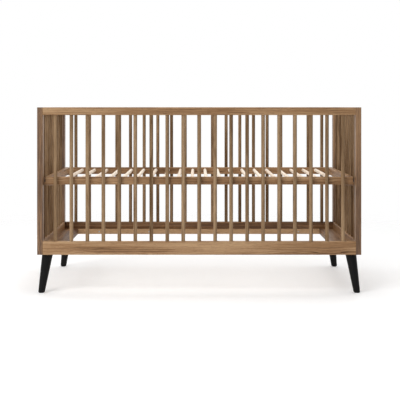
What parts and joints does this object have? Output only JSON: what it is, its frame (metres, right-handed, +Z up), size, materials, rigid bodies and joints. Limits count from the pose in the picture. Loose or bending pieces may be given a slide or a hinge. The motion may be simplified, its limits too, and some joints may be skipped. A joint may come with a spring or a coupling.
{
  "type": "cot bed",
  "caption": "Open slatted cot in stained wood on four black splayed round legs, with a slatted mattress base that is set at different heights",
  "frame": {"origin": "on the floor, under the middle of the cot", "axes": "+X along the cot to the right end seen from the front, +Y across it from the front side to the rear side, +Z up"},
  "size_m": [1.455, 0.755, 0.835],
  "materials": {
    "stained_posts": "satin walnut-brown stain",
    "stained_rails": "satin walnut-brown stain",
    "stained_slats": "satin walnut-brown stain",
    "stained_boards": "satin walnut-brown stain",
    "stained_base": "satin walnut-brown stain",
    "natural_slats": "clear-lacquered pale wood",
    "beech": "raw beech",
    "black_legs": "satin black paint on wood",
    "glide_plastic": "dark grey moulded plastic",
    "brown_steel": "brown powder coat",
    "zinc_steel": "zinc plated",
    "black_steel": "black oxide"
  },
  "bodies": {
    "cot": {"front_left_post": "stained_posts", "front_right_post": "stained_posts", "rear_left_post": "stained_posts", "rear_right_post": "stained_posts", "front_top_rail": "stained_rails", "front_bottom_rail": "stained_rails", "rear_top_rail": "stained_rails", "rear_bottom_rail": "stained_rails", "left_top_rail": "stained_rails", "left_bottom_rail": "stained_rails", "right_top_rail": "stained_rails", "right_bottom_rail": "stained_rails", "front_slats": "stained_slats", "rear_slats": "stained_slats", "left_slats": "stained_slats", "right_slats": "stained_slats", "left_end_board": "stained_boards", "right_end_board": "stained_boards", "front_batten": "stained_boards", "rear_batten": "stained_boards", "front_left_leg": "black_legs", "front_right_leg": "black_legs", "rear_left_leg": "black_legs", "rear_right_leg": "black_legs", "front_left_glide": "glide_plastic", "front_right_glide": "glide_plastic", "rear_left_glide": "glide_plastic", "rear_right_glide": "glide_plastic", "leg_bolts": "zinc_steel", "leg_inserts": "zinc_steel", "rail_bolts": "zinc_steel", "barrel_nuts": "zinc_steel", "batten_screws": "zinc_steel", "base_bolts": "zinc_steel", "base_nuts": "black_steel", "rail_dowels": "beech", "end_dowels": "beech", "board_dowels": "beech"},
    "mattress_base": {"base_front_rail": "stained_base", "base_rear_rail": "stained_base", "base_left_rail": "stained_base", "base_right_rail": "stained_base", "base_slats": "natural_slats", "base_dowels": "beech", "front_left_bracket": "brown_steel", "front_right_bracket": "brown_steel", "rear_left_bracket": "brown_steel", "rear_right_bracket": "brown_steel", "bracket_screws": "zinc_steel"}
  },
  "joints": [
    {"name": "base_height", "type": "slide", "parent": "cot", "child": "mattress_base", "axis": [0, 0, 1], "range_m": [-0.28, 0]}
  ]
}
